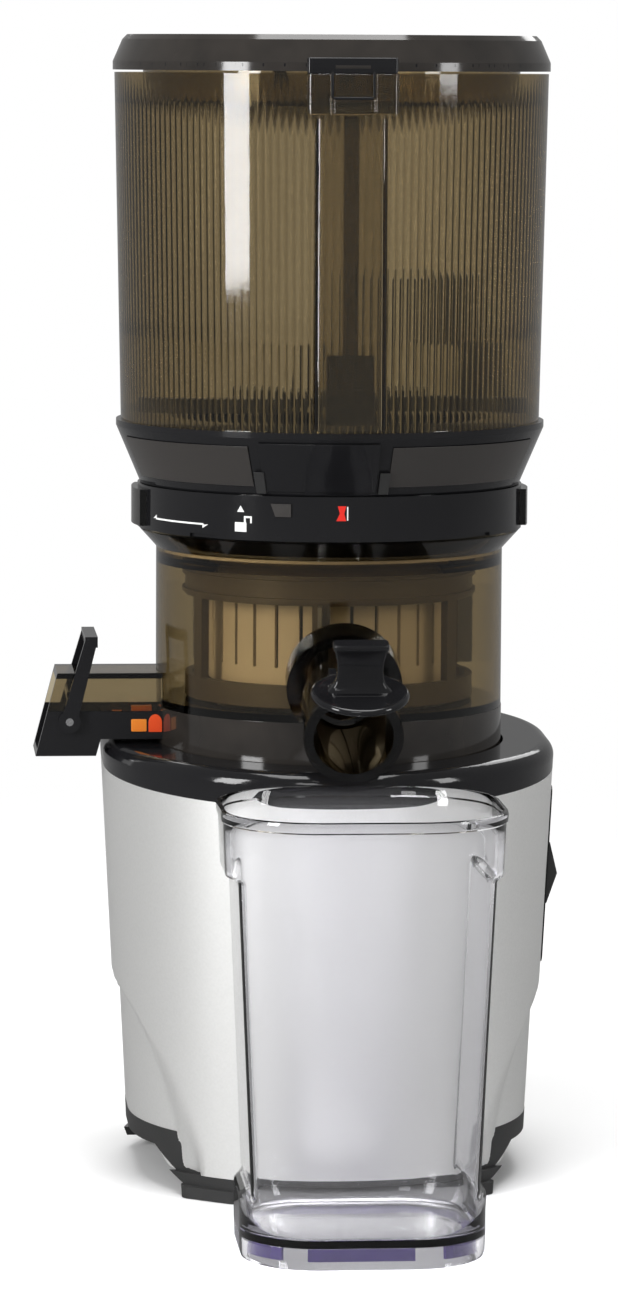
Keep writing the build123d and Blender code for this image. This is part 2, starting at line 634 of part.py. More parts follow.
with BuildPart() as feed_cutter:
    ring(13.0, 0, 318.0, 328.0)
    for turn_by in (0, 180):
        spin = Plane.XY.rotated((0, 0, turn_by))
        with BuildSketch(spin.offset(319.0)) as arm_curve:
            with BuildLine():
                ThreePointArc((8, 0), (34, 9), (60, -4))
            trace(line_width=6)
        extrude(arm_curve.sketch, amount=6.0, dir=(0, 0, 1))
    with BuildSketch(Plane.XY.offset(325.0)) as wing_curve:
        with BuildLine():
            ThreePointArc((26, 8.2), (36, 8.4), (46, 6.0))
        trace(line_width=4)
    extrude(wing_curve.sketch, amount=49.0, dir=(0, 0, 1))
    with BuildSketch(Plane.XY.offset(317.0)) as hub_socket:
        RegularPolygon(4.15, 6, major_radius=False)
    extrude(hub_socket.sketch, amount=6.5, mode=Mode.SUBTRACT)
save(feed_cutter, "feed_cutter")

# ---- juice cap ----------------------------------------------------------------------------------
CAP_PIVOT = (21.5, -4.0)     # above and behind the mouth's centre, in the spout's own frame
pivot_axis = Axis(
    SPOUT_AXIS.from_local_coords((0, CAP_PIVOT[0], CAP_PIVOT[1])), (1, 0, 0)
)

with BuildPart() as closed_cap:
    with BuildSketch(SPOUT_AXIS.offset(0.5)) as disc:
        Circle(19.5)
    extrude(disc.sketch, amount=3.0)
    fillet(closed_cap.edges().sort_by(SortBy.DISTANCE)[-1:], radius=1.0)
    with Locations(SPOUT_AXIS):
        for side in (-1, 1):
            with Locations((side * 9.3, 19.0, 2.0)):
                Box(3.2, 8.0, 3.0)
            with Locations((side * 9.3, 21.1, -1.6)):
                Box(3.2, 4.2, 5.4)
            with Locations((side * 9.3, CAP_PIVOT[0], CAP_PIVOT[1])):
                Cylinder(2.9, 3.2, rotation=(0, 90, 0))
        with Locations((0, 3.0, 12.0)):
            Box(20.0, 3.2, 18.0)
        with Locations((0, 3.0, 21.0)):
            Box(22.2, 7.0, 3.2)
    with Locations(SPOUT_AXIS):
        with Locations((0, CAP_PIVOT[0], CAP_PIVOT[1])):
            Cylinder(1.2, 30.0, rotation=(0, 90, 0), mode=Mode.SUBTRACT)

with BuildPart() as juice_cap:
    add(closed_cap.part.rotate(pivot_axis, -CAP_OPEN))
save(juice_cap, "juice_cap")

with BuildPart() as closed_seal:
    with BuildSketch(SPOUT_AXIS.offset(-0.6)) as plug:
        Circle(15.0)
    extrude(plug.sketch, amount=1.1)

with BuildPart() as cap_seal:
    add(closed_seal.part.rotate(pivot_axis, -CAP_OPEN))
save(cap_seal, "cap_seal")

with BuildPart() as cap_pin:
    with Locations(SPOUT_AXIS):
        with Locations((0, CAP_PIVOT[0], CAP_PIVOT[1])):
            Cylinder(1.2 - RUN, 21.8, rotation=(0, 90, 0))
save(cap_pin, "cap_pin")

# ---- hopper -------------------------------------------------------------------------------------
HINGE_PIN = 2.0
CHANNEL_TOP = 441.8
CHANNEL_FACE = -95.5
LATCH_Y = -96.0              # latch pivot
LATCH_Z = 462.2
LATCH_PIN = 1.2

with BuildPart() as lock_ring:
    ring(RING_RADIUS, 75.6, RING_BOTTOM, RING_TOP)
    with Locations((0, 0, RING_BOTTOM)):
        with PolarLocations(RING_RADIUS, 4, start_angle=45):
            Box(3.0, 14.0, 3.0, mode=Mode.SUBTRACT)
save(lock_ring, "lock_ring")

with BuildPart() as ring_grips:
    ring(RING_RADIUS + 2.6, RING_RADIUS, RING_BOTTOM + 1.5, RING_TOP - 1.7)
    block((-100, 100), (-20, 20), (RING_BOTTOM, RING_TOP), Mode.INTERSECT)
save(ring_grips, "ring_grips")

with BuildPart() as hopper_base:
    turned(
        (66.0, 265.4), (69.0, 265.4), (75.2, 272.8), (75.2, RING_TOP + 0.3), (79.0, RING_TOP + 0.3),
        (89.0, HOPPER_FOOT - 2.5), (89.0, HOPPER_FOOT), (40.5, HOPPER_FOOT), (48.3, 266.0), (51.3, 266.0),
        (44.0, HOPPER_FOOT - 3.5), (85.0, HOPPER_FOOT - 3.5), (76.5, 293.3), (72.2, 293.3),
        (72.2, 273.8), (66.0, 267.6),
    )
save(hopper_base, "hopper_base")

with BuildPart() as hopper_seal:
    ring(68.6, 66.2, 264.5, 265.4)
save(hopper_seal, "hopper_seal")

with BuildPart() as hopper:
    turned(
        (HOPPER_FOOT_RADIUS, HOPPER_FOOT), (HOPPER_TOP_RADIUS, HOPPER_TOP),
        (HOPPER_TOP_RADIUS - 2.8, HOPPER_TOP), (HOPPER_FOOT_RADIUS - 2.8, HOPPER_FOOT),
    )
    for x_span in ((-18, -12), (12, 18)):
        side_profile([(87.2, 444), (98.5, 456), (98.5, 466.3), (91.8, 466.3), (91.8, HOPPER_TOP),
                      (87.2, HOPPER_TOP)], x_span)
    cross_pin(HINGE_PIN, (-30, 30), HINGE_Y, HINGE_Z, Mode.SUBTRACT)
save(hopper, "hopper")

with BuildPart() as hopper_channel:
    block((-14.5, 14.5), (CHANNEL_FACE, -80), (HOPPER_FOOT + 1.5, CHANNEL_TOP))
    block((-12.5, 12.5), (CHANNEL_FACE + 2, -70), (HOPPER_FOOT, CHANNEL_TOP + 1), Mode.SUBTRACT)
    turned((0, HOPPER_FOOT), (HOPPER_FOOT_RADIUS, HOPPER_FOOT), (HOPPER_TOP_RADIUS, HOPPER_TOP),
           (0, HOPPER_TOP), mode=Mode.SUBTRACT)
save(hopper_channel, "hopper_channel")

with BuildPart() as interlock_rod:
    block((-3, 3), (CHANNEL_FACE + 2.3, CHANNEL_FACE + 4.6), (324, CHANNEL_TOP + 0.8))
    block((-9.5, 9.5), (CHANNEL_FACE + 2.3, CHANNEL_FACE + 5.9), (320, 348))
save(interlock_rod, "interlock_rod")

with BuildPart() as hinge_pin:
    cross_pin(HINGE_PIN, (-18.5, 18.5), HINGE_Y, HINGE_Z)
save(hinge_pin, "hinge_pin")

# ---- lid ----------------------------------------------------------------------------------------
with BuildPart() as lid_ring:
    turned(
        (78.0, HOPPER_TOP + 0.3), (LID_RADIUS, HOPPER_TOP + 0.3), (LID_RADIUS, 464.0), (86.6, 473.0),
        (84.6, LID_TOP), (81.5, LID_TOP), (78.0, 472.5),
    )
    block((-11.7, 11.7), (86.0, HINGE_Y), (HOPPER_TOP + 0.5, HINGE_Z + 3.2))
    cross_pin(3.2, (-11.7, 11.7), HINGE_Y, HINGE_Z)
    cross_pin(HINGE_PIN + RUN, (-12, 12), HINGE_Y, HINGE_Z, Mode.SUBTRACT)
    block((-7, 7), (LATCH_Y, -86), (LATCH_Z - 1.7, LATCH_Z + 1.8))
    cross_pin(2.2, (-7, 7), LATCH_Y, LATCH_Z)
    cross_pin(LATCH_PIN + RUN, (-8, 8), LATCH_Y, LATCH_Z, Mode.SUBTRACT)
save(lid_ring, "lid_ring")

DISH_BALL = 240.5            # radius of the dish's shallow round bottom
DISH_LOW = 433.0
DISH_WALL = 2.5


with BuildPart() as dish_room:
    turned((0, DISH_LOW - 10), (78.0 - DISH_WALL, DISH_LOW - 10), (78.0 - DISH_WALL, 480.0), (0, 480.0))
    with Locations((0, 0, DISH_LOW + DISH_BALL)):
        Sphere(DISH_BALL - DISH_WALL, mode=Mode.INTERSECT)

with BuildPart() as lid_dish:
    turned((0, DISH_LOW - 10), (78.0, DISH_LOW - 10), (78.0, 471.0), (0, 471.0))
    with Locations((0, 0, DISH_LOW + DISH_BALL)):
        Sphere(DISH_BALL, mode=Mode.INTERSECT)
    add(dish_room.part, mode=Mode.SUBTRACT)
save(lid_dish, "lid_dish")

with BuildPart() as lid_latch:
    side_profile(
        [(-100.4, 445), (-99, 443.3), (-92, 443.3), (-92, 456), (-94, 458.5), (-94, 465), (-95, 466),
         (-99.4, 466), (-100.4, 465)],
        (-18.4, 18.4),
    )
    block((-7.4, 7.4), (-98.6, -90), (457.0, 468), Mode.SUBTRACT)
    cross_pin(LATCH_PIN, (-15, 15), LATCH_Y, LATCH_Z, Mode.SUBTRACT)
save(lid_latch, "lid_latch")

with BuildPart() as latch_pin:
    cross_pin(LATCH_PIN, (-15, 15), LATCH_Y, LATCH_Z)
save(latch_pin, "latch_pin")

# ---- juice cup ----------------------------------------------------------------------------------
CUP_RIM_HALF = (56.35, 52.0)
CUP_FLARE = 2.554            # draft of the walls, in degrees
CUP_RIM_CORNER = 38.0
CUP_WALL = 2.4


def cup_solid(low, high, inset, mode=Mode.ADD):
    """Rounded block that widens upwards like the cup's outside, set in by a distance."""
    lost = (CUP_HEIGHT - low) * math.tan(math.radians(CUP_FLARE)) + inset
    with BuildSketch(Plane.XY.offset(low)) as section:
        with Locations((0, CUP_Y)):
            RectangleRounded(2 * (CUP_RIM_HALF[0] - lost), 2 * (CUP_RIM_HALF[1] - lost), CUP_RIM_CORNER - lost)
    extrude(section.sketch, amount=high - low, taper=-CUP_FLARE, mode=mode)


with BuildPart() as juice_cup:
    cup_solid(0.0, CUP_HEIGHT, 0.0)
    cup_solid(12.0, CUP_HEIGHT + 1, CUP_WALL, Mode.SUBTRACT)
    cup_solid(-1.0, 9.0, CUP_WALL + 1.5, Mode.SUBTRACT)
save(juice_cup, "juice_cup")
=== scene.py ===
import json
import math

import bmesh
import bpy
from mathutils import Euler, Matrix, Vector


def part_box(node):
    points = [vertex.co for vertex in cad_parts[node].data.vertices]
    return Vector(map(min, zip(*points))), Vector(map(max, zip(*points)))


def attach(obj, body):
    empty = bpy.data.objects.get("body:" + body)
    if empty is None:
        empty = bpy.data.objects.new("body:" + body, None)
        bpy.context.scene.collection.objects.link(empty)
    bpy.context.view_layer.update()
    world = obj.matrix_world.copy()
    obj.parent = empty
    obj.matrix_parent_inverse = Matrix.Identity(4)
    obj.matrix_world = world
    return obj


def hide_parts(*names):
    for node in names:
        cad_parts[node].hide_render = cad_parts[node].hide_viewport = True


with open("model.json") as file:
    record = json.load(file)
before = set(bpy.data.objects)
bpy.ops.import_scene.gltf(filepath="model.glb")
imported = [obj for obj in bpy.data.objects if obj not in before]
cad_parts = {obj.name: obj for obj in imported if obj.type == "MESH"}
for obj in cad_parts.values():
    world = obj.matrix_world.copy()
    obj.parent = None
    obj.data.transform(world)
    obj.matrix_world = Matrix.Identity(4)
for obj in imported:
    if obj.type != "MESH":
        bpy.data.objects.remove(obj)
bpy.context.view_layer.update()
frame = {"nodes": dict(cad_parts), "record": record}

MM = 0.001

# ---- places and sizes taken from the frame ------------------------------------------------------


def middle(node):
    """Centre of a CAD node's box, in metres."""
    low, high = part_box(node)
    return (low + high) / 2


RING_MIDDLE = middle("lock_ring")
AXIS_X, AXIS_Y = RING_MIDDLE.x, RING_MIDDLE.y          # the auger's upright axis


def place(x, y, z):
    """Millimetres about the auger's axis, as a point in the row frame."""
    return Vector((AXIS_X + x * MM, AXIS_Y + y * MM, z * MM))


def span(node, axis):
    """Lowest and highest value of a node along one axis, in millimetres about the auger's axis."""
    low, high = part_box(node)
    shift = (AXIS_X, AXIS_Y, 0.0)[axis]
    return (low[axis] - shift) / MM, (high[axis] - shift) / MM


HOPPER_FOOT, HOPPER_TOP = span("hopper_base", 2)[1], span("lid_ring", 2)[0] - 0.3
HOPPER_FOOT_RADIUS = 87.0
HOPPER_TOP_RADIUS = 89.8
HOPPER_WALL = 2.8
SHELL_FOOT = span("base_shell", 2)[0]
FOOT_RADIUS = 86.0           # half width of the base at its lower edge
TAPER = 0.05123
STRETCH = 20.0               # the back half circle sits this far behind the front one
SEAM, SEAM_SLOPE = 172.0, 0.07
CUP_MIDDLE_Y = sum(span("juice_cup", 1)) / 2
CUP_HEIGHT = span("juice_cup", 2)[1]


# ---- materials ----------------------------------------------------------------------------------
def new_material(name, color, roughness, metallic=0.0, spread=0.05, grain=900.0, bump=0.02, **inputs):
    """Principled material whose roughness and surface vary with a fine procedural grain."""
    material = bpy.data.materials.new(name)
    material.use_nodes = True
    nodes, links = material.node_tree.nodes, material.node_tree.links
    shader = nodes["Principled BSDF"]
    shader.inputs["Base Color"].default_value = (*color, 1.0)
    shader.inputs["Metallic"].default_value = metallic
    for key, value in inputs.items():
        shader.inputs[key.replace("_", " ")].default_value = value
    where = nodes.new("ShaderNodeTexCoord")
    noise = nodes.new("ShaderNodeTexNoise")
    noise.inputs["Scale"].default_value = grain
    noise.inputs["Detail"].default_value = 3.0
    links.new(where.outputs["Object"], noise.inputs["Vector"])
    rough = nodes.new("ShaderNodeMapRange")
    rough.inputs["To Min"].default_value = max(0.0, roughness - spread)
    rough.inputs["To Max"].default_value = roughness + spread
    links.new(noise.outputs["Fac"], rough.inputs["Value"])
    links.new(rough.outputs["Result"], shader.inputs["Roughness"])
    relief = nodes.new("ShaderNodeBump")
    relief.inputs["Strength"].default_value = bump
    relief.inputs["Distance"].default_value = 0.0002
    links.new(noise.outputs["Fac"], relief.inputs["Height"])
    links.new(relief.outputs["Normal"], shader.inputs["Normal"])
    return material


def add_absorption(material, color, density):
    """Tint a transparent material by the distance that light goes through it."""
    nodes, links = material.node_tree.nodes, material.node_tree.links
    depth = nodes.new("ShaderNodeVolumeAbsorption")
    depth.inputs["Color"].default_value = (*color, 1.0)
    depth.inputs["Density"].default_value = density
    links.new(depth.outputs["Volume"], nodes["Material Output"].inputs["Volume"])


def let_light_through(material):
    """Lamps shine through the material instead of casting a hard shadow."""
    nodes, links = material.node_tree.nodes, material.node_tree.links
    path = nodes.new("ShaderNodeLightPath")
    clear = nodes.new("ShaderNodeBsdfTransparent")
    clear.inputs["Color"].default_value = (0.95, 0.95, 0.95, 1.0)
    blend = nodes.new("ShaderNodeMixShader")
    links.new(path.outputs["Is Shadow Ray"], blend.inputs[0])
    links.new(nodes["Principled BSDF"].outputs["BSDF"], blend.inputs[1])
    links.new(clear.outputs["BSDF"], blend.inputs[2])
    links.new(blend.outputs["Shader"], nodes["Material Output"].inputs["Surface"])


def mottle(material, dark, light, scale):
    """Vary the colour between two tones with a soft large-scale noise."""
    nodes, links = material.node_tree.nodes, material.node_tree.links
    where = nodes.new("ShaderNodeTexCoord")
    noise = nodes.new("ShaderNodeTexNoise")
    noise.inputs["Scale"].default_value = scale
    links.new(where.outputs["Object"], noise.inputs["Vector"])
    ramp = nodes.new("ShaderNodeValToRGB")
    ramp.color_ramp.elements[0].color = (*dark, 1.0)
    ramp.color_ramp.elements[1].color = (*light, 1.0)
    links.new(noise.outputs["Fac"], ramp.inputs["Fac"])
    links.new(ramp.outputs["Color"], nodes["Principled BSDF"].inputs["Base Color"])


BLACK_GLOSS = new_material("black_gloss", (0.008, 0.008, 0.009), 0.09, spread=0.03, grain=400, bump=0.01,
                           Specular_IOR_Level=0.35)
mottle(BLACK_GLOSS, (0.006, 0.006, 0.007), (0.011, 0.011, 0.012), 25.0)
SMOKY_BLACK = new_material("smoky_black", (0.02, 0.018, 0.016), 0.1, spread=0.04, grain=300, bump=0.01)
mottle(SMOKY_BLACK, (0.012, 0.011, 0.01), (0.035, 0.03, 0.026), 60.0)
BLACK_MATTE = new_material("black_matte", (0.018, 0.018, 0.018), 0.45, spread=0.08, grain=2500, bump=0.15)
mottle(BLACK_MATTE, (0.014, 0.014, 0.014), (0.024, 0.024, 0.024), 40.0)
SILVER = new_material("silver_paint", (0.86, 0.86, 0.85), 0.4, metallic=0.8, spread=0.05, grain=6000,
                      bump=0.05, Coat_Weight=0.25, Coat_Roughness=0.2)
mottle(SILVER, (0.84, 0.84, 0.825), (0.93, 0.93, 0.915), 900.0)
SMOKE = new_material("smoke_clear", (0.97, 0.96, 0.94), 0.04, spread=0.03, grain=500, bump=0.02,
                     Transmission_Weight=1.0, IOR=1.49)
add_absorption(SMOKE, (0.35, 0.25, 0.0), 480.0)
SMOKE_DARK = new_material("smoke_dark", (0.8, 0.78, 0.75), 0.07, spread=0.03, grain=500, bump=0.02,
                          Transmission_Weight=1.0, IOR=1.49)
add_absorption(SMOKE_DARK, (0.3, 0.2, 0.0), 1000.0)
CLEAR = new_material("clear_cup", (0.985, 0.985, 0.99), 0.02, spread=0.015, grain=300, bump=0.01,
                     Transmission_Weight=1.0, IOR=1.49)
add_absorption(CLEAR, (0.55, 0.5, 0.9), 9.0)
SMOKE_LATCH = new_material("smoke_latch", (0.8, 0.78, 0.75), 0.06, spread=0.03, grain=500, bump=0.02,
                           Transmission_Weight=1.0, IOR=1.49)
add_absorption(SMOKE_LATCH, (0.3, 0.22, 0.0), 120.0)
for glassy in (SMOKE, SMOKE_DARK, SMOKE_LATCH, CLEAR):
    let_light_through(glassy)
RUBBER = new_material("foot_rubber", (0.02, 0.02, 0.02), 0.7, spread=0.1, grain=3000, bump=0.25)
GREY_SILICONE = new_material("grey_silicone", (0.25, 0.25, 0.25), 0.55, spread=0.06, grain=1500, bump=0.1)
ORANGE = new_material("orange_silicone", (0.9, 0.12, 0.01), 0.42, spread=0.06, grain=1500, bump=0.08,
                      Subsurface_Weight=0.2)
mottle(ORANGE, (0.95, 0.2, 0.01), (1.0, 0.3, 0.02), 120.0)
# Darker copy of the orange silicone: painted shade for the seal's dome, not a second colour of rubber.
ORANGE_SHADED = new_material("orange_silicone_painted_shade", (0.75, 0.06, 0.005), 0.42, spread=0.06, grain=1500,
                           bump=0.08)
mottle(ORANGE_SHADED, (0.7, 0.05, 0.004), (0.85, 0.09, 0.008), 120.0)
STEEL = new_material("machined_steel", (0.55, 0.55, 0.56), 0.28, metallic=1.0, spread=0.08, grain=1200,
                     bump=0.1)
CORE_STEEL = new_material("laminated_steel", (0.2, 0.2, 0.22), 0.4, metallic=0.9, spread=0.1, grain=3000,
                          bump=0.2)
COPPER = new_material("winding_copper", (0.62, 0.27, 0.1), 0.35, metallic=0.9, spread=0.1, grain=2500,
                      bump=0.4)
GEAR_WHITE = new_material("gear_plastic", (0.7, 0.7, 0.64), 0.45, spread=0.06, grain=1500, bump=0.05)
CASTING = new_material("gear_case", (0.5, 0.5, 0.52), 0.5, metallic=0.9, spread=0.1, grain=1500, bump=0.3)
AUGER_PLASTIC = new_material("auger_plastic", (0.035, 0.036, 0.04), 0.4, spread=0.06, grain=1500, bump=0.05)
BOARD = new_material("circuit_board", (0.03, 0.16, 0.06), 0.45, spread=0.08, grain=1200, bump=0.1)
PRINT_WHITE = new_material("print_white", (0.85, 0.85, 0.83), 0.5, spread=0.05, grain=2000, bump=0.05)
PRINT_RED = new_material("print_red", (0.75, 0.02, 0.01), 0.4, spread=0.05, grain=2000, bump=0.05)

VIOLET = new_material("violet_edge", (0.035, 0.02, 0.11), 0.12, spread=0.04, grain=300, bump=0.01,
                      Transmission_Weight=0.3)
BRUSH = new_material("brush_plastic", (0.11, 0.09, 0.07), 0.4, spread=0.08, grain=1500, bump=0.05)
SCREEN = new_material("strainer_screen", (0.85, 0.76, 0.64), 0.45, spread=0.08, grain=1500, bump=0.1)
SATIN = new_material("satin_black", (0.03, 0.027, 0.025), 0.3, spread=0.05, grain=1800, bump=0.04)

LOOKS = {
    "silver_shell": SILVER, "black_gloss": BLACK_GLOSS, "black_matte": BLACK_MATTE, "foot_rubber": RUBBER,
    "grey_silicone": GREY_SILICONE, "orange_silicone": ORANGE, "smoke_clear": SMOKE, "clear_cup": CLEAR,
    "steel": STEEL, "core_steel": CORE_STEEL, "can_steel": STEEL, "copper": COPPER,
    "gear_plastic": GEAR_WHITE, "gear_case": CASTING, "auger_plastic": AUGER_PLASTIC,
    "circuit_board": BOARD,
}
OWN_LOOK = {"strainer": SCREEN, "brush_frame": BRUSH, "juice_spout": SMOKE_DARK, "interlock_rod": SMOKE_DARK,
            "bowl_skirt": SMOKY_BLACK, "lid_ring": SMOKY_BLACK, "lid_latch": SMOKE_DARK,
            "ring_grips": SMOKE_DARK}


def dress_frame():
    """Give every CAD node its own finish or its slot's; the CAD meshes stay as they were packed."""
    for entry in frame["record"]["subparts"]:
        look = OWN_LOOK.get(entry["node"], LOOKS[entry["material_slot"]])
        for place_for_look in frame["nodes"][entry["node"]].material_slots:
            place_for_look.material = look


def smooth(mesh, angle=32.0):
    """Smooth shading with sharp edges above an angle, for the pieces made here."""
    mesh.polygons.foreach_set("use_smooth", [True] * len(mesh.polygons))
    mesh.set_sharp_from_angle(angle=math.radians(angle))


# ---- mesh helpers -------------------------------------------------------------------------------
def piece(name, points, faces, body, material, slot=None, stands_for=(), angle=32.0):
    """Mesh object from millimetre points about the auger's axis; it rides on a body."""
    mesh = bpy.data.meshes.new(name)
    mesh.from_pydata([place(*point) for point in points], [], faces)
    mesh.validate()
    mesh.materials.append(material)
    obj = bpy.data.objects.new(name, mesh)
    bpy.context.scene.collection.objects.link(obj)
    fix_normals(obj)
    smooth(mesh, angle)
    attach(obj, body)
    if stands_for:
        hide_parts(*stands_for)
    return obj


def fix_normals(obj):
    """Point every face outwards."""
    form = bmesh.new()
    form.from_mesh(obj.data)
    bmesh.ops.recalc_face_normals(form, faces=form.faces)
    form.to_mesh(obj.data)
    form.free()


def bevel(obj, width, segments=3, angle=30.0):
    """Round a piece's sharp edges by a width in millimetres and keep the flats flat."""
    round_off = obj.modifiers.new("edge_round", "BEVEL")
    round_off.width = width * MM
    round_off.segments = segments
    round_off.limit_method = "ANGLE"
    round_off.angle_limit = math.radians(angle)
    round_off.harden_normals = True
    return obj


def grid_faces(rows, columns, wrap_rows=False, wrap_columns=True):
    """Quads of a grid of points stored row by row."""
    faces = []
    for row in range(rows if wrap_rows else rows - 1):
        for column in range(columns if wrap_columns else columns - 1):
            a = row * columns + column
            b = row * columns + (column + 1) % columns
            c = ((row + 1) % rows) * columns + (column + 1) % columns
            d = ((row + 1) % rows) * columns + column
            faces.append((a, b, c, d))
    return faces


def turned(name, profile, body, material, steps=192, arc=(0.0, 360.0), centre=(0.0, 0.0), **more):
    """Closed (radius, height) outline turned about an upright axis, wholly or through an arc."""
    whole = arc[1] - arc[0] >= 360.0
    count = steps if whole else steps + 1
    points = []
    for radius, height in profile:
        for step in range(count):
            angle = math.radians(arc[0] + (arc[1] - arc[0]) * step / steps)
            across, back = radius * math.sin(angle), -radius * math.cos(angle)
            points.append((centre[0] + across, centre[1] + back, height))
    faces = grid_faces(len(profile), count, wrap_rows=True, wrap_columns=whole)
    if not whole:
        faces.append(tuple(row * count for row in range(len(profile))))
        faces.append(tuple(row * count + count - 1 for row in reversed(range(len(profile)))))
    return piece(name, points, faces, body, material, **more)


def prism(name, outline, low, high, body, material, make_point, **more):
    """Solid between two offsets of a flat outline; make_point(u, v, w) gives a point in millimetres."""
    count = len(outline)
    points = [make_point(u, v, low) for u, v in outline] + [make_point(u, v, high) for u, v in outline]
    faces = [tuple(range(count)), tuple(range(2 * count - 1, count - 1, -1))]
    faces += [(i, (i + 1) % count, count + (i + 1) % count, count + i) for i in range(count)]
    return piece(name, points, faces, body, material, **more)


def rounded(half_u, half_v, radius, steps=6, centre=(0.0, 0.0)):
    """Outline of a rounded rectangle."""
    points = []
    for corner, (side_u, side_v) in enumerate(((1, 1), (-1, 1), (-1, -1), (1, -1))):
        for step in range(steps + 1):
            angle = math.radians(90 * corner + 90 * step / steps)
            points.append((centre[0] + side_u * (half_u - radius) + radius * math.cos(angle),
                           centre[1] + side_v * (half_v - radius) + radius * math.sin(angle)))
    return points


def smoothstep(value):
    """Soft ramp from 0 to 1."""
    share = min(1.0, max(0.0, value))
    return share * share * (3 - 2 * share)


def base_radius(height):
    return FOOT_RADIUS + (height - SHELL_FOOT) * TAPER


# ---- base shell with its side swooshes ----------------------------------------------------------
UPPER_CREASE, LOWER_CREASE = 41.7, 49.6     # degrees off the front where each crease meets the foot
SWOOSH_RISE = 71.6           # height of both creases above the foot, at the side
SWOOSH_DEPTH = 3.0
ARCH_FRONT, ARCH_REAR = (-50.0, -33.0), (24.0, 36.0)
ARCH_RISE = 14.5


def plan_stations(count):
    """Directions round the base with the centre each is measured from: front, side, back, side."""
    stations = []
    for centre, start in ((0.0, -90.0), (STRETCH, 90.0)):
        for step in range(count + 1):
            angle = math.radians(start + 180.0 * step / count)
            stations.append((math.sin(angle), -math.cos(angle), centre))
        side = 1 if start < 0 else -1
        for step in range(1, 6):
            shift = STRETCH * step / 6
            stations.append((side, 0.0, shift if side > 0 else STRETCH - shift))
    return stations


def arch_edge(y):
    """Height of the shell's lower edge beside one depth."""
    rise = smoothstep((y - ARCH_FRONT[0]) / (ARCH_FRONT[1] - ARCH_FRONT[0]))
    fall = smoothstep((y - ARCH_REAR[0]) / (ARCH_REAR[1] - ARCH_REAR[0]))
    return SHELL_FOOT + ARCH_RISE * (rise - fall)


def crease_height(off_front, start):
    """Height of a swoosh crease at an angle off the front."""
    if off_front <= start:
        return SHELL_FOOT
    share = (90.0 - off_front) / (90.0 - start)
    return SHELL_FOOT + SWOOSH_RISE * max(0.0, 1 - share ** 2) ** 0.6


def swoosh_inset(direction_x, direction_y, height):
    """How far the side facet lies inside the plain taper: a ramp between the creases, flat below."""
    off_front = math.degrees(math.atan2(abs(direction_x), abs(direction_y)))
    upper = crease_height(off_front, UPPER_CREASE)
    lower = crease_height(off_front, LOWER_CREASE)
    if height >= upper:
        return 0.0
    return SWOOSH_DEPTH * min(1.0, (upper - height) / max(2.5, upper - lower))


def base_skin(inset):
    """Points of the shell's skin, row by row up the height."""
    rows = 110
    stations = plan_stations(100)
    points = []
    for row in range(rows + 1):
        for dx, dy, centre in stations:
            edge_y = centre + dy * base_radius(SHELL_FOOT)
            seam_y = centre + dy * base_radius(SEAM)
            low = arch_edge(edge_y)
            high = SEAM + SEAM_SLOPE * seam_y
            height = low + (high - low) * row / rows
            radius = base_radius(height) - inset - swoosh_inset(dx, dy, height)
            points.append((dx * radius, centre + dy * radius, height))
    return points, rows + 1, len(stations)


def make_base_shell():
    outer, rows, columns = base_skin(0.05)
    inner, _, _ = base_skin(2.5)
    inner = [inner[row * columns + column] for row in reversed(range(rows)) for column in range(columns)]
    faces = grid_faces(2 * rows, columns, wrap_rows=True)
    shell = piece("base_shell_skin", outer + inner, faces, "base", SILVER, slot="silver_shell",
                  stands_for=("base_shell",), angle=50)
    low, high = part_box("switch_bezel")
    bpy.ops.mesh.primitive_cube_add(size=1.0, location=(low + high) / 2)
    cutter = bpy.context.object
    cutter.scale = (0.03, high.y - low.y - 0.004, high.z - low.z - 0.004)
    cut = shell.modifiers.new("switch_window", "BOOLEAN")
    cut.operation = "DIFFERENCE"
    cut.solver = "EXACT"
    cut.object = cutter
    apply_modifiers(shell)
    bpy.data.objects.remove(cutter)
    smooth(shell.data, 50)


def apply_modifiers(obj):
    """Bake a piece's modifiers into its mesh."""
    graph = bpy.context.evaluated_depsgraph_get()
    baked = bpy.data.meshes.new_from_object(obj.evaluated_get(graph))
    obj.modifiers.clear()
    obj.data = baked


# ---- hopper -------------------------------------------------------------------------------------
RIBS = 170
RIB_RISE = 0.55
RIB_BAND = 352.0             # below this height every rib stands out further


def hopper_radius(height):
    share = (height - HOPPER_FOOT) / (HOPPER_TOP - HOPPER_FOOT)
    return HOPPER_FOOT_RADIUS + (HOPPER_TOP_RADIUS - HOPPER_FOOT_RADIUS) * share


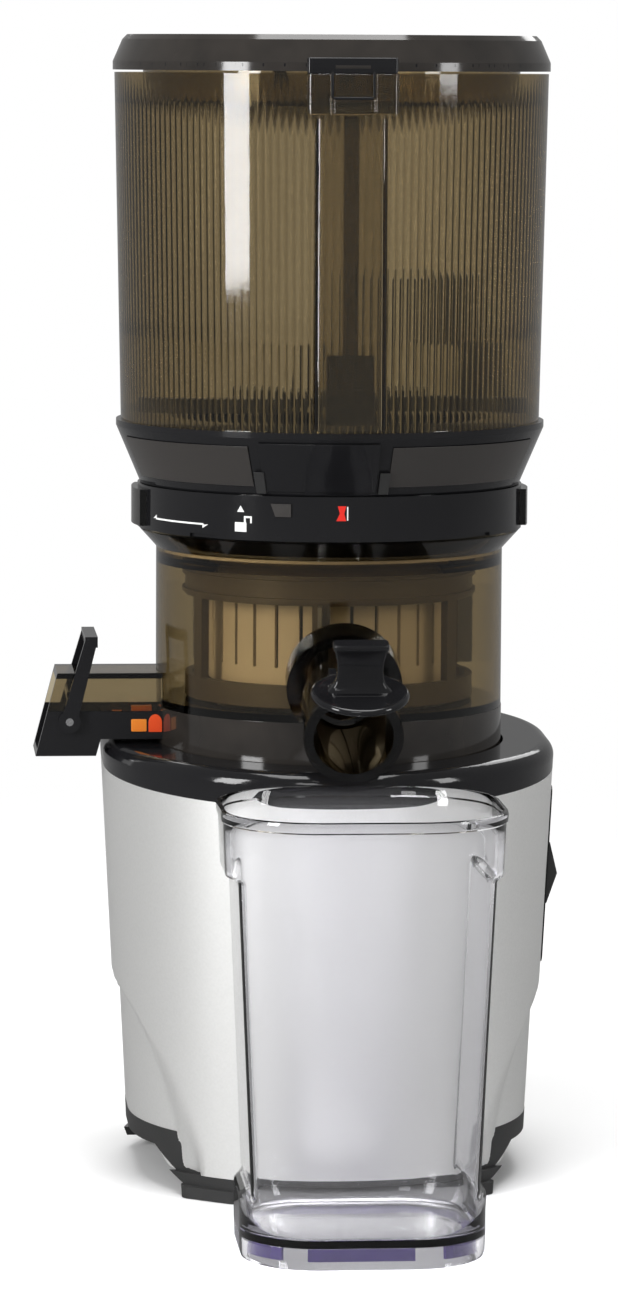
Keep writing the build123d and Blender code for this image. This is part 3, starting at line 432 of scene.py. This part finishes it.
def make_hopper():
    """Smooth outer wall with fine upright ribs on the inside."""
    per_rib = 6
    count = RIBS * per_rib
    heights = [HOPPER_FOOT + 0.02, RIB_BAND - 1.0, RIB_BAND + 1.0, HOPPER_TOP - 13.0, HOPPER_TOP - 12.0,
               HOPPER_TOP - 0.02]
    swell = [1.6, 1.6, 1.0, 1.0, 0.0, 0.0]
    points = []
    for height in heights:
        for step in range(count):
            angle = 2 * math.pi * step / count
            radius = hopper_radius(height)
            points.append((radius * math.sin(angle), -radius * math.cos(angle), height))
    for height, size in reversed(list(zip(heights, swell))):
        for step in range(count):
            angle = 2 * math.pi * step / count
            wave = max(0.0, math.cos(2 * math.pi * step / per_rib)) * RIB_RISE * size
            radius = hopper_radius(height) - HOPPER_WALL + 0.3 - wave
            points.append((radius * math.sin(angle), -radius * math.cos(angle), height))
    faces = grid_faces(2 * len(heights), count, wrap_rows=True)
    piece("hopper_wall", points, faces, "hopper", SMOKE, slot="smoke_clear", stands_for=("hopper",), angle=60)
    for side in (-1, 1):
        outline = [(89.9, 447), (98.3, 456.5), (98.3, 464), (96.5, 466.2), (93.5, 466.2), (92.0, 464.5),
                   (91.9, 460.0), (89.9, 460.0)]
        ear = prism(f"hinge_ear_{'left' if side < 0 else 'right'}", outline, 12.2, 17.8, "hopper", SMOKE_DARK,
                    lambda u, v, w, side=side: (side * w, u, v), slot="smoke_clear")
        bevel(ear, 0.6)


def make_channel():
    """Proud interlock channel down the hopper's front, with rounded corners."""
    low, high = span("hopper_channel", 2)
    face = span("hopper_channel", 1)[0]
    half = span("hopper_channel", 0)[1]
    rows = []
    for height in (low, high):
        wall = hopper_radius(height)
        outer = []
        inner = []
        for side in (-1, 1):
            back = -math.sqrt(wall ** 2 - half ** 2)
            corner = 3.0
            arc = [(side * (half - corner + corner * math.cos(math.radians(a))),
                    face + corner - corner * math.sin(math.radians(a))) for a in range(0, 91, 15)]
            inset = 2.0
            core = [(side * (half - corner + (corner - inset) * math.cos(math.radians(a))),
                     face + corner - (corner - inset) * math.sin(math.radians(a))) for a in range(0, 91, 15)]
            outer_side = [(side * half, back - 0.05)] + arc
            inner_side = [(side * (half - inset), back - 0.25)] + core
            if side < 0:
                outer, inner = outer_side, inner_side
            else:
                outer = outer + outer_side[::-1]
                inner = inner + inner_side[::-1]
        loop = outer + inner[::-1]
        rows.append([(x, y, height) for x, y in loop])
    count = len(rows[0])
    half_count = count // 2
    faces = [(i, (i + 1) % count, count + (i + 1) % count, count + i) for i in range(count)]
    for i in range(half_count - 1):
        j = count - 1 - i
        faces.append((i, i + 1, j - 1, j))
        faces.append((count + i, count + j, count + j - 1, count + i + 1))
    piece("interlock_channel", rows[0] + rows[1], faces, "hopper", SMOKE, slot="smoke_clear",
          stands_for=("hopper_channel",), angle=40)


# ---- juice cup ----------------------------------------------------------------------------------
CUP_RIM_X, CUP_RIM_Y = 56.2, 51.8           # half width and half depth at the rim
CUP_FLARE = 0.0446
CUP_WALL = 2.4
CUP_CORNER = 38.0
GRIP_DEPTH = 4.2
GRIP_LOW, GRIP_HIGH, GRIP_HALF = 24.0, 151.0, 31.0
BAND_GAPS = ((-32.0, -24.0), (19.0, 29.0))  # clear notches in the tinted floor band, across the cup


def cup_outline(height, inset):
    """Rounded rectangle of the cup at a height, with the finger grips pressed into both sides."""
    lost = (CUP_HEIGHT - height) * CUP_FLARE + inset
    lift = smoothstep((GRIP_HIGH - height) / 3.0) * smoothstep((height - GRIP_LOW) / 5.0)
    half_x, half_y = CUP_RIM_X - lost, CUP_RIM_Y - lost
    corner = CUP_CORNER - lost
    outline = []
    for turn, (side_x, side_y) in enumerate(((1, 1), (-1, 1), (-1, -1), (1, -1))):
        arc = []
        for step in range(25):
            angle = math.radians(90.0 * turn + 90.0 * step / 24)
            arc.append((side_x * (half_x - corner) + corner * math.cos(angle),
                        side_y * (half_y - corner) + corner * math.sin(angle)))
        outline += arc
        last = arc[-1]
        following = ((-1, 1), (-1, -1), (1, -1), (1, 1))[turn]
        angle = math.radians(90.0 * (turn + 1))
        first = (following[0] * (half_x - corner) + corner * math.cos(angle),
                 following[1] * (half_y - corner) + corner * math.sin(angle))
        outline += [(last[0] + (first[0] - last[0]) * step / 12, last[1] + (first[1] - last[1]) * step / 12)
                    for step in range(1, 12)]
    pressed = []
    for x, y in outline:
        inward = GRIP_DEPTH * lift * smoothstep((GRIP_HALF - abs(y)) / 3.5) if abs(x) > half_x * 0.6 else 0.0
        limit = max(0.0, abs(x) - (half_x - GRIP_DEPTH)) if inward else 0.0
        move = min(inward, limit) if inward else 0.0
        pressed.append((x - math.copysign(move, x), y))
    return pressed


def cup_rows(sections):
    """Points of the cup's surface from (height, inset) pairs."""
    points = []
    for height, inset in sections:
        points += [(x, CUP_MIDDLE_Y + y, height) for x, y in cup_outline(height, inset)]
    return points


def make_cup():
    """Clear cup: flared walls, beaded rim, side grips and a raised floor inside a foot rim."""
    heights = [2.0, 10.0, 18.0] + [22.0 + 1.5 * step for step in range(7)] + [45.0, 65.0, 85.0, 105.0, 125.0]
    heights += [145.0 + 0.8 * step for step in range(11)] + [160.0, 168.0]
    rim = [(171.4, 0.7), (172.0, 0.1), (174.6, 0.0), (175.6, 0.35), (176.0, 1.1), (175.9, 2.0), (175.0, 2.7)]
    outside = [(0.0, 1.6), (0.4, 0.8)] + [(height, 0.7 if height > 12 else 0.3) for height in heights]
    inside = [(height, 0.7 + CUP_WALL) for height in reversed(heights) if height > 14]
    floor = [(13.0, 3.8), (11.4, 5.0), (10.8, 8.0), (10.6, 20.0)]
    under = [(8.6, 20.0), (8.6, 8.0), (8.4, 4.2), (0.3, 3.4), (0.0, 2.8)]
    sections = outside + rim + inside + floor + under
    points = cup_rows(sections)
    count = len(cup_outline(50.0, 0.0))
    faces = grid_faces(len(sections), count, wrap_rows=True)
    top = len(outside + rim + inside + floor) - 1
    faces = [face for face in faces if not (face[0] // count == top and face[2] // count == top + 1)]
    faces.append(tuple(top * count + i for i in range(count)))
    faces.append(tuple((top + 1) * count + i for i in reversed(range(count))))
    piece("juice_cup_wall", points, faces, "cup", CLEAR, slot="clear_cup", stands_for=("juice_cup",),
          angle=40)


def make_cup_band():
    """Tinted band round the floor's edge, inside the foot rim, with two clear notches at the front."""
    rows = [cup_rows([(height, inset)]) for height, inset in ((3.4, 3.9), (8.2, 4.4), (8.2, 6.0), (3.4, 5.5))]
    count = len(rows[0])
    keep = []
    for i in range(count):
        x, y, _ = rows[0][i]
        open_here = y < CUP_MIDDLE_Y and any(low < x < high for low, high in BAND_GAPS)
        keep.append(not open_here)
    runs = []
    start = next(i for i in range(count) if not keep[i])
    run = []
    for step in range(count + 1):
        i = (start + step) % count
        if keep[i]:
            run.append(i)
        elif run:
            runs.append(run)
            run = []
    for number, run in enumerate(runs):
        points = [rows[row][i] for row in range(4) for i in run]
        faces = grid_faces(4, len(run), wrap_rows=True, wrap_columns=False)
        faces.append(tuple(row * len(run) for row in range(4)))
        faces.append(tuple(row * len(run) + len(run) - 1 for row in reversed(range(4))))
        piece(f"cup_floor_band_{number}", points, faces, "cup", VIOLET, slot="clear_cup", angle=40)


# ---- juice cap ----------------------------------------------------------------------------------
MOUTH = (0.0, -118.0, 197.5)     # middle of the spout's mouth
MOUTH_TILT = 19.5                # the mouth looks this far below the horizontal
HINGE_UP, HINGE_BACK = 21.5, 4.0
CAP_OPEN = 92.0


def cap_point(x, up, out):
    """Point given in the closed cap's frame (across, up the mouth, outwards), swung to the open rest."""
    swing = math.radians(CAP_OPEN)
    a, b = up - HINGE_UP, out + HINGE_BACK
    up_open = HINGE_UP + a * math.cos(swing) + b * math.sin(swing)
    out_open = -HINGE_BACK - a * math.sin(swing) + b * math.cos(swing)
    tilt = math.radians(MOUTH_TILT)
    return (x, MOUTH[1] - out_open * math.cos(tilt) - up_open * math.sin(tilt),
            MOUTH[2] - out_open * math.sin(tilt) + up_open * math.cos(tilt))


def cap_loft(name, sections, material):
    """Solid through rounded-rectangle sections (out, half width, half thickness, middle up)."""
    points = []
    count = 0
    for out, half_width, half_thick, middle_up in sections:
        ring = rounded(half_width, half_thick, min(half_width, half_thick) * 0.6, centre=(0, middle_up))
        count = len(ring)
        points += [cap_point(u, v, out) for u, v in ring]
    faces = grid_faces(len(sections), count)
    faces.append(tuple(range(count)))
    faces.append(tuple(len(points) - 1 - i for i in range(count)))
    return piece(name, points, faces, "cap", material, slot="black_gloss", angle=45)


def make_cap():
    """Open flip cap: dished disc with a rolled edge, waisted stem and a barred finger tab."""
    rings = [(0.0, 1.0), (6.0, 1.0), (12.0, 0.9), (17.2, 0.5), (18.6, 0.6), (19.3, 1.2), (19.45, 2.0),
             (19.1, 2.9), (18.2, 3.4), (16.5, 3.2), (13.0, 2.7), (8.0, 2.6), (0.0, 2.6)]
    points, steps = [], 72
    for radius, out in rings:
        reach = max(radius, 0.01)
        turns = [2 * math.pi * i / steps for i in range(steps)]
        points += [cap_point(reach * math.cos(turn), reach * math.sin(turn), out) for turn in turns]
    faces = grid_faces(len(rings), steps)
    faces.append(tuple(range(steps)))
    faces.append(tuple(len(points) - 1 - i for i in range(steps)))
    piece("cap_disc", points, faces, "cap", BLACK_GLOSS, slot="black_gloss", stands_for=("juice_cap",),
          angle=50)
    stem = [(2.3, 13.0, 4.5, 3.0), (3.6, 11.6, 3.2, 3.0), (5.5, 10.0, 2.3, 3.0), (8.0, 9.2, 1.8, 3.0),
            (11.0, 9.0, 1.6, 3.0), (14.5, 9.3, 1.6, 3.0), (18.0, 10.0, 1.8, 3.0), (20.0, 10.6, 2.2, 3.0)]
    cap_loft("cap_stem", stem, BLACK_GLOSS)
    tab = [(19.6, 10.6, 3.1, 3.0), (20.1, 11.0, 3.4, 3.0), (21.2, 11.05, 3.45, 3.0), (22.1, 11.0, 3.4, 3.0),
           (22.55, 10.7, 3.0, 3.0)]
    cap_loft("cap_tab_bar", tab, BLACK_GLOSS)
    for side in (-1, 1):
        arm = prism(f"cap_arm_{'left' if side < 0 else 'right'}",
                    [(15.2, 0.6), (18.9, 0.6), (18.9, -2.4), (19.5, -5.2), (21.0, -6.7), (22.6, -6.5),
                     (23.8, -5.0), (24.0, -3.4), (23.0, -1.0), (23.0, 2.2), (22.0, 3.3), (15.2, 3.3)],
                    side * 7.8, side * 10.8, "cap", BLACK_GLOSS,
                    lambda u, v, w: cap_point(w, u, v), slot="black_gloss", angle=40)
        bevel(arm, 0.4)


# ---- lid latch and lid bead ---------------------------------------------------------------------
def make_latch():
    """Smoky latch with rounded sides, a pressed centre tab and a finger lip; black strips beside the tab are
    painted shade for its slits.
    """
    low, high = span("lid_latch", 2)
    front, back = span("lid_latch", 1)
    half = span("lid_latch", 0)[1]
    outline = [(-half + 1.2, back - 0.2), (-half, back - 2.0)]
    outline += [(-half + 2.6 - 2.6 * math.cos(math.radians(a)), front + 2.6 - 2.6 * math.sin(math.radians(a)))
                for a in range(0, 91, 15)]
    outline += [(-9.2, front), (-8.7, front + 1.3), (-7.9, front + 1.3), (-7.4, front + 0.5)]
    outline += [(-x, y) for x, y in reversed(outline)]
    body = prism("latch_body", outline, low + 0.1, high - 6.5, "latch", SMOKE_LATCH,
                 lambda u, v, w: (u, v, w), slot="smoke_clear", stands_for=("lid_latch",), angle=35)
    bevel(body, 0.5)
    bar_outline = rounded(half - 0.4, 2.9, 1.2, centre=(0, back - 3.2))
    bar = prism("latch_hook_bar", bar_outline, high - 6.6, high - 0.1, "latch", BLACK_GLOSS,
                lambda u, v, w: (u, v, w), slot="smoke_clear", angle=35)
    bevel(bar, 0.5)
    lip_outline = rounded(8.0, 0.6, 0.5, centre=(0, 449.8))
    lip = prism("latch_finger_lip", lip_outline, front + 0.05, front + 1.4, "latch", BLACK_GLOSS,
                lambda u, v, w: (u, w, v), slot="smoke_clear", angle=35)
    bevel(lip, 0.3)
    # Black strips standing proud at the tab's sides: painted shade where the slits cut through the smoky
    # latch.
    for side in (-1, 1):
        slit_outline = rounded(0.55, 5.0, 0.5, centre=(side * 8.3, 455))
        slit = prism(f"latch_slit_painted_shade_{'left' if side < 0 else 'right'}", slit_outline,
                     front + 0.02, front + 1.35, "latch", BLACK_GLOSS, lambda u, v, w: (u, w, v),
                     slot="smoke_clear", angle=35)
        bevel(slit, 0.2)


def make_lid_bead():
    """Thin polished bead round the lid's flange edge."""
    radius = span("lid_ring", 0)[1]
    profile = [(radius - 0.5, 462.0), (radius - 0.02, 462.3), (radius - 0.02, 463.5), (radius - 0.5, 463.9),
               (radius - 1.4, 463.4), (radius - 1.4, 462.4)]
    turned("lid_edge_bead", profile, "lid", BLACK_GLOSS, slot="black_gloss")


# ---- collar and lock ring details ---------------------------------------------------------------
RING_RADIUS = 80.0                       # the lock ring's outer face
FLARE_FOOT, FLARE_RISE = 290.5, 23.0     # the collar's flare starts here and is this tall
FLARE_RADIUS, FLARE_GAIN = 79.0, 10.0    # its radius at the foot, and how much it widens


def flare_point(angle, height, lift):
    """Point on the collar's flare, lifted outwards, at an angle round from the front."""
    radius = FLARE_RADIUS + FLARE_GAIN * (height - FLARE_FOOT) / FLARE_RISE + lift
    turn = math.radians(angle)
    return radius * math.sin(turn), -radius * math.cos(turn), height


def flare_pad(name, start, end, low, high, lift, material, slot):
    """Curved pad standing on the collar's flare between two angles and two heights."""
    steps = 24
    points = []
    for offset in (0.05, lift):
        for height in (low, high):
            angles = [start + (end - start) * i / steps for i in range(steps + 1)]
            points += [flare_point(angle, height, offset) for angle in angles]
    row = steps + 1
    faces = []
    for i in range(steps):
        faces += [(i, i + 1, row + i + 1, row + i),
                  (2 * row + i, 3 * row + i, 3 * row + i + 1, 2 * row + i + 1),
                  (i, 2 * row + i, 2 * row + i + 1, i + 1),
                  (row + i, row + i + 1, 3 * row + i + 1, 3 * row + i)]
    faces += [(0, row, 3 * row, 2 * row), (row - 1, 3 * row - 1, 4 * row - 1, 2 * row - 1)]
    bevel(piece(name, points, faces, "hopper", material, slot=slot, angle=35), 0.3, segments=2)


def make_collar():
    """Raised front panel of the collar, its satin side panels and two small clips."""
    flare_pad("collar_front_panel", -24.0, 8.5, 292.0, 312.0, 0.9, BLACK_GLOSS, "black_gloss")
    flare_pad("collar_left_panel", -78.0, -27.0, 294.0, 310.5, 0.45, SATIN, "black_gloss")
    flare_pad("collar_right_panel", 12.0, 66.0, 294.0, 310.5, 0.45, SATIN, "black_gloss")
    flare_pad("collar_left_clip", -26.2, -23.2, 291.2, 300.0, 1.6, BLACK_MATTE, "black_gloss")
    flare_pad("collar_right_clip", 9.2, 12.0, 291.2, 300.0, 1.6, BLACK_MATTE, "black_gloss")


def ring_mark(name, outline, material, centre_angle, centre_height, rise=0.12):
    """Thin printed mark wrapped on the lock ring; outline in millimetres from its centre."""
    base = RING_RADIUS + 0.02
    count = len(outline)
    points = []
    for lift in (0.0, rise):
        for u, v in outline:
            turn = math.radians(centre_angle) + u / base
            radius = base + lift
            points.append((radius * math.sin(turn), -radius * math.cos(turn), centre_height + v))
    faces = [tuple(range(count)), tuple(range(2 * count - 1, count - 1, -1))]
    faces += [(i, (i + 1) % count, count + (i + 1) % count, count + i) for i in range(count)]
    return piece(name, points, faces, "lock", material, slot="black_gloss", angle=30)


def make_ring_marks():
    """Turn arrow, pointer triangle, open padlock and the red index mark."""
    for step in range(10):
        left = -16.0 + 3.2 * step
        right = left + 3.2
        ring_mark(f"turn_arrow_shaft_{step}", [(left, -0.35), (right, -0.35), (right, 0.35), (left, 0.35)],
                  PRINT_WHITE, -56, 277.5)
    ring_mark("turn_arrow_left", [(-18.5, 0.0), (-15.5, 0.2), (-15.5, 1.6)], PRINT_WHITE, -56, 277.5)
    ring_mark("turn_arrow_right", [(18.5, 0.0), (15.5, -1.6), (15.5, -0.2)], PRINT_WHITE, -56, 277.5)
    ring_mark("pointer_triangle", [(-1.6, -1.2), (1.6, -1.2), (0.0, 1.4)], PRINT_WHITE, -31.5, 284.6)
    ring_mark("padlock_body", [(-2.6, -2.2), (2.6, -2.2), (2.6, 1.6), (-2.6, 1.6)], PRINT_WHITE, -31.5, 277.6)
    ring_mark("padlock_bar", [(1.5, 1.6), (2.3, 1.6), (2.3, 4.0), (1.5, 4.0)], PRINT_WHITE, -31.5, 277.6)
    ring_mark("padlock_loop", [(1.5, 3.4), (5.0, 3.4), (5.0, 4.2), (1.5, 4.2)], PRINT_WHITE, -31.5, 277.6)
    ring_mark("padlock_end", [(4.3, 1.4), (5.0, 1.4), (5.0, 3.4), (4.3, 3.4)], PRINT_WHITE, -31.5, 277.6)
    ring_mark("index_red", [(-2.0, -3.0), (2.0, -3.0), (1.2, 0.0), (2.0, 3.0), (-1.4, 3.0), (-0.6, 0.0)],
              PRINT_RED, -1.5, 283.6)
    ring_mark("lock_ramp", [(-4.2, 2.6), (-2.2, -2.6), (4.2, -2.6), (4.2, 2.6)], SATIN, -19, 284.6, rise=0.7)
    ring_mark("index_tick", [(2.3, -2.8), (2.8, -2.8), (2.8, 2.8), (2.3, 2.8)], PRINT_WHITE, -1.5, 283.6)


# ---- pulp chute seal seen through its window ----------------------------------------------------
def make_chute_seal():
    """Orange seal block and dome standing just proud of the chute's two side faces; the dome is a flat slab
    whose darker orange is painted shade.
    """
    for name, side in (("front", -1), ("back", 1)):
        face = 17.05
        block = prism(f"chute_seal_block_{name}", rounded(3.2, 2.6, 0.5, centre=(-80.2, 190.2)), side * face,
                      side * (face + 0.35), "bowl", ORANGE, lambda u, v, w: (u, w, v), slot="orange_silicone")
        bevel(block, 0.15, segments=2)
        turns = [math.radians(angle) for angle in range(0, 181, 15)]
        crown = [(-73.4 - 2.8 * math.cos(turn), 191.4 + 3.4 * math.sin(turn)) for turn in turns]
        arch = [(-76.2, 187.4)] + crown + [(-70.6, 187.4)]
        # The dome's darker orange is painted shade on a flat slab.
        dome = prism(f"chute_seal_dome_{name}", arch, side * face, side * (face + 0.35), "bowl", ORANGE_SHADED,
                     lambda u, v, w: (u, w, v), slot="orange_silicone")
        bevel(dome, 0.15, segments=2)


# ---- camera, light and floor --------------------------------------------------------------------
CAMERA_DISTANCE = 2.184
CAMERA_HEIGHT = 0.467
CAMERA_AZIMUTH = -5.0
CAMERA_TILT = 6.47
CAMERA_PAN = 0.213
CAMERA_ROLL = 0.3
CAMERA_LENS = 145.4


def make_camera():
    data = bpy.data.cameras.new("camera")
    camera = bpy.data.objects.new("camera", data)
    bpy.context.scene.collection.objects.link(camera)
    azimuth = math.radians(CAMERA_AZIMUTH)
    camera.location = (AXIS_X + CAMERA_DISTANCE * math.sin(azimuth),
                       AXIS_Y - CAMERA_DISTANCE * math.cos(azimuth), CAMERA_HEIGHT)
    camera.rotation_mode = "XYZ"
    turn = Euler((math.radians(90 - CAMERA_TILT), 0.0, azimuth + math.radians(CAMERA_PAN)), "XYZ")
    look = turn.to_matrix() @ Euler((0, 0, math.radians(CAMERA_ROLL))).to_matrix()
    camera.rotation_euler = look.to_euler("XYZ")
    data.lens = CAMERA_LENS
    data.sensor_width = 36.0
    data.clip_start = 0.05
    bpy.context.scene.camera = camera


def make_light(name, place_at, target, size, power, color=(1.0, 1.0, 1.0)):
    data = bpy.data.lights.new(name, "AREA")
    data.shape = "RECTANGLE"
    data.size, data.size_y = size
    data.energy = power
    data.color = color
    light = bpy.data.objects.new(name, data)
    light.location = place_at
    light.rotation_euler = (Vector(target) - Vector(place_at)).to_track_quat("-Z", "Y").to_euler()
    bpy.context.scene.collection.objects.link(light)


def make_world():
    """White surroundings for direct view and seen through glass, dimmer for reflections and fill."""
    world = bpy.data.worlds.new("studio")
    bpy.context.scene.world = world
    world.use_nodes = True
    nodes, links = world.node_tree.nodes, world.node_tree.links
    path = nodes.new("ShaderNodeLightPath")
    either = nodes.new("ShaderNodeMath")
    either.operation = "MAXIMUM"
    links.new(path.outputs["Is Camera Ray"], either.inputs[0])
    links.new(path.outputs["Is Transmission Ray"], either.inputs[1])
    level = nodes.new("ShaderNodeMapRange")
    level.inputs["To Min"].default_value = 0.3
    level.inputs["To Max"].default_value = 1.0
    links.new(either.outputs["Value"], level.inputs["Value"])
    nodes["Background"].inputs["Color"].default_value = (1.0, 1.0, 1.0, 1.0)
    links.new(level.outputs["Result"], nodes["Background"].inputs["Strength"])


def make_floor():
    """Pale round floor that fades out at its edge."""
    bpy.ops.mesh.primitive_circle_add(vertices=96, radius=1.3, fill_type="NGON", location=(0, 0, -0.0002))
    floor = bpy.context.object
    floor.name = "floor"
    paper = new_material("floor_paper", (0.93, 0.93, 0.93), 0.85, spread=0.05, grain=30, bump=0.0)
    nodes, links = paper.node_tree.nodes, paper.node_tree.links
    where = nodes.new("ShaderNodeTexCoord")
    reach = nodes.new("ShaderNodeVectorMath")
    reach.operation = "LENGTH"
    links.new(where.outputs["Object"], reach.inputs[0])
    fade = nodes.new("ShaderNodeMapRange")
    fade.interpolation_type = "SMOOTHSTEP"
    fade.inputs["From Min"].default_value = 0.3
    fade.inputs["From Max"].default_value = 1.25
    fade.inputs["To Min"].default_value = 1.0
    fade.inputs["To Max"].default_value = 0.0
    links.new(reach.outputs["Value"], fade.inputs["Value"])
    links.new(fade.outputs["Result"], nodes["Principled BSDF"].inputs["Alpha"])
    bounce = nodes.new("ShaderNodeLightPath")
    tone = nodes.new("ShaderNodeMix")
    tone.data_type = "RGBA"
    tone.inputs["A"].default_value = (0.93, 0.93, 0.93, 1.0)
    tone.inputs["B"].default_value = (0.16, 0.16, 0.16, 1.0)
    links.new(bounce.outputs["Is Glossy Ray"], tone.inputs["Factor"])
    links.new(tone.outputs["Result"], nodes["Principled BSDF"].inputs["Base Color"])
    floor.data.materials.append(paper)


def make_studio():
    bpy.context.scene.view_settings.view_transform = "Standard"
    make_world()
    make_floor()
    aim = (AXIS_X, AXIS_Y, 0.25)
    make_light("softbox_left", (-1.55, -1.05, 0.75), aim, (0.5, 1.1), 30)
    make_light("softbox_right", (1.75, -1.05, 0.85), aim, (0.4, 1.0), 12)
    make_light("softbox_top", (0.0, -0.2, 2.0), aim, (1.2, 1.2), 30)
    make_light("softbox_back", (0.3, 1.9, 1.4), aim, (1.6, 1.0), 14)
    make_light("fill_front", (-0.5, -2.6, 1.5), aim, (0.9, 0.6), 9)


# ---- build --------------------------------------------------------------------------------------
dress_frame()
make_base_shell()
make_hopper()
make_channel()
make_cup()
make_cup_band()
make_cap()
make_latch()
make_lid_bead()
make_collar()
make_ring_marks()
make_chute_seal()
make_camera()
make_studio()
